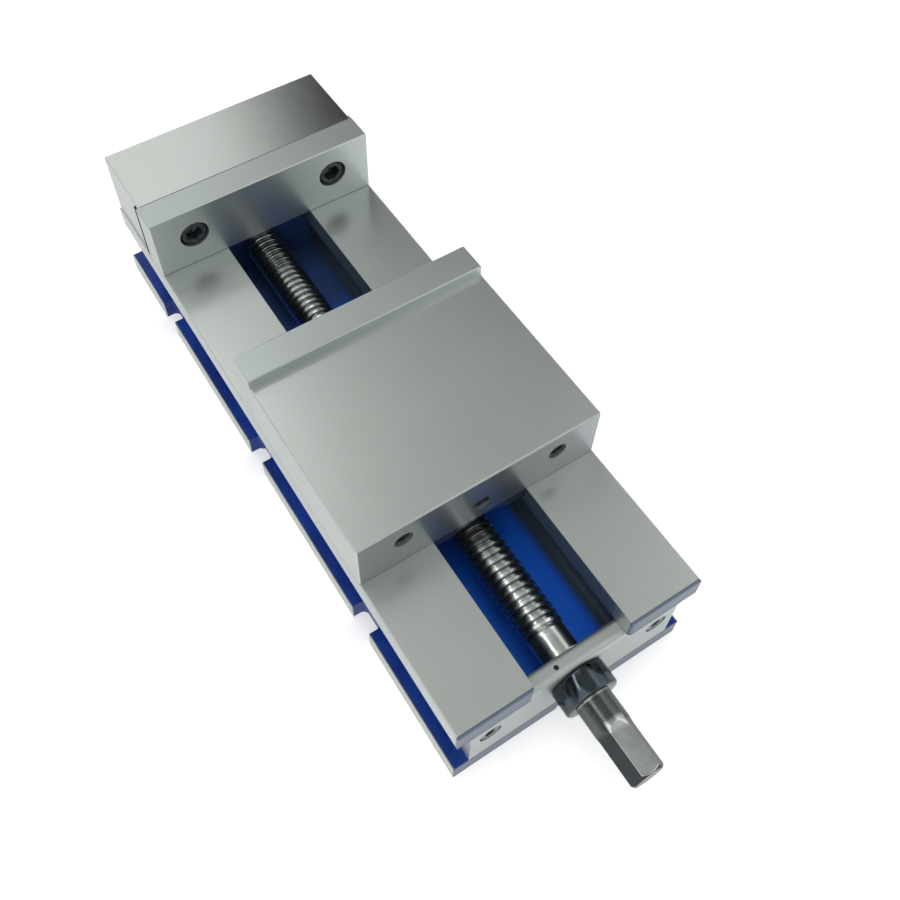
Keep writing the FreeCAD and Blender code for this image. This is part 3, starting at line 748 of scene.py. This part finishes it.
def cap_screw(bm, head_d, head_h, shank_d, length, socket, socket_depth, place):
    """A cap screw whose head faces +Z, moved to its place by a matrix."""
    one = bmesh.new()
    sides, break_edge, flare = 96, 0.05 * head_d, 1.06
    mouth = socket / math.sqrt(3)
    hexagon = ring_of(one, mouth * flare, 6, sides // 6 - 1, 0.0)
    rim = ring_of(one, head_d / 2 - break_edge, sides, 0, 0.0)
    bmesh.ops.bridge_loops(one, edges=hexagon + rim)
    hexagon = push(one, hexagon, 1 / flare, 0.04 * head_d)
    hexagon = push(one, hexagon, 1.0, socket_depth)
    hexagon = push(one, hexagon, 0.1, 0.25 * socket)
    side = push(one, rim, head_d / (head_d - 2 * break_edge), break_edge)
    knurl = {v for e in side for v in e.verts}
    side = push(one, side, 1.0, head_h - 1.6 * break_edge)
    knurl |= {v for e in side for v in e.verts}
    for v in knurl:
        if round(math.degrees(math.atan2(v.co.y, v.co.x)) / (360 / sides)) % 2:
            v.co.x, v.co.y = v.co.x * 0.975, v.co.y * 0.975
    side = push(one, side, 0.96, 0.6 * break_edge)
    side = push(one, side, shank_d / head_d / 0.96, 0.0)
    side = push(one, side, 1.0, length - shank_d * 0.1)
    side = push(one, side, 0.8, shank_d * 0.1)
    close_holes(one)
    bmesh.ops.transform(one, matrix=place, verts=one.verts)
    add_part(bm, one)


def screws_of(node, name, facing, turns, sizes, body):
    """Both screws of a node, with their heads towards facing along Y."""
    low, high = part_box(node)
    head_d = sizes[0]
    bm = bmesh.new()
    head_y = low.y if facing < 0 else high.y
    for side, spin in zip((-1, 1), turns):
        x = side * ((high.x - low.x) / 2 - head_d / 2)
        aim = Matrix.Rotation(math.radians(90 if facing < 0 else -90), 4, "X")
        place = Matrix.Translation((x, head_y, (low.z + high.z) / 2)) @ aim
        cap_screw(bm, *sizes, place @ Matrix.Rotation(math.radians(spin), 4, "Z"))
    store(name, bm, black_screw, body, "black_screws", node)


# head's width and height, shank's width and length, socket's width across flats and depth
m12 = (18.0 * mm, 12.0 * mm, 11.6 * mm, 22.6 * mm, 10.0 * mm, 6.0 * mm)
m8 = (13.0 * mm, 8.0 * mm, 7.7 * mm, 20.9 * mm, 6.0 * mm, 4.0 * mm)
screws_of("fixed_plate_screws", "fixed_plate_cap_screws", -1, (8, 23), m12, "bed")
screws_of("movable_plate_screws", "movable_plate_cap_screws", 1, (17, 2), m12, "carriage")
screws_of("front_plate_screws", "front_plate_cap_screws", -1, (28, 12), m8, "bed")

# %% [markdown]
# ## Tapped holes
# The outer faces of both jaws have tapped holes, and so has the set screw's hole in the middle. The hole
# itself is in the solids. A bump could hint at its thread, but the hole is seen at a slant, where a bump looks
# flat. So the thread is a small ridge that winds along the wall, spun from its flat section in the same way as
# the big thread, and only as deep as light reaches.

# %% Tapped threads
def tapped_thread(bm, x, z, mouth_y, facing, radius, thread_pitch, count):
    """A closed helical ridge on the wall of a hole along Y."""
    one = bmesh.new()
    inward, steps = radius - 0.54 * thread_pitch, 32
    corners = [(0.05, radius), (0.5, inward), (0.95, radius), (0.5, radius + 0.02 * thread_pitch)]
    verts = [one.verts.new((0, y * thread_pitch, r)) for y, r in corners]
    loop = verts + [one.edges.new((a, b)) for a, b in zip(verts, verts[1:] + verts[:1])]
    bmesh.ops.spin(one, geom=loop, cent=(0, 0, 0), axis=(0, 1, 0), dvec=(0, thread_pitch / steps, 0),
                   angle=2 * math.pi * count, steps=steps * count)
    close_holes(one)
    depth = (count + 1.1) * thread_pitch
    start = mouth_y + 0.3 * thread_pitch if facing < 0 else mouth_y - depth - 0.3 * thread_pitch
    bmesh.ops.translate(one, vec=(x, start, z), verts=one.verts)
    add_part(bm, one)


hole_z, hole_x, hole_r, coarse = rail_top + 25.0 * mm, 51.0 * mm, 6.0 * mm, 1.75 * mm
set_hole_z, deep, shallow = rail_top + 14.0 * mm, 9, 3
bm = bmesh.new()
for side in (-1, 1):
    tapped_thread(bm, side * hole_x, hole_z, jaw_outer_y, -1, hole_r, coarse, deep)
tapped_thread(bm, 0.0, set_hole_z, jaw_outer_y, -1, hole_r, coarse, shallow)
store("movable_jaw_tapped_threads", bm, black_screw, "carriage", "jaw_iron")
bm = bmesh.new()
for side in (-1, 1):
    tapped_thread(bm, side * hole_x, hole_z, block_back, 1, hole_r, coarse, deep)
store("fixed_jaw_tapped_threads", bm, black_screw, "bed", "body_iron")

# %% [markdown]
# ## The set screw
# It sits in the middle hole of the movable jaw and takes up the play of the nut. Only its socketed end shows,
# which is made with the cap screws' helpers: a hexagon bridged to a circle, then pushed in and out.

# %% Set screw
set_low, set_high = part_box("jaw_set_screw")
set_r = (set_high.x - set_low.x) / 2
set_sides, socket, flare = 48, 6.0 * mm, 1.08
end_face, broken = 0.86, 0.12 * set_r  # share of the radius that is flat, height of the broken edge
bm = bmesh.new()
hexagon = ring_of(bm, socket / math.sqrt(3) * flare, 6, set_sides // 6 - 1, 0.0)
rim = ring_of(bm, set_r * end_face, set_sides, 0, 0.0)
bmesh.ops.bridge_loops(bm, edges=hexagon + rim)
hexagon = push(bm, hexagon, 1 / flare, 0.4 * mm)
hexagon = push(bm, hexagon, 1.0, 6.0 * mm)
hexagon = push(bm, hexagon, 0.1, 1.5 * mm)
rim = push(bm, rim, 1 / end_face, broken)
rim = push(bm, rim, 1.0, set_high.y - set_low.y - 2 * broken)
rim = push(bm, rim, end_face, broken)
close_holes(bm)
set_place = Matrix.Translation((0, set_low.y, (set_low.z + set_high.z) / 2))
bmesh.ops.transform(bm, matrix=set_place @ Matrix.Rotation(math.radians(90), 4, "X"), verts=bm.verts)
store("jaw_set_screw_socketed", bm, black_screw, "carriage", "black_screws", "jaw_set_screw")

# %% [markdown]
# ## The view transform
# The picture is shown without a film look, so a colour comes out as it is written.

# %% Finish
bpy.context.scene.view_settings.view_transform = "Standard"
bpy.context.view_layer.update()
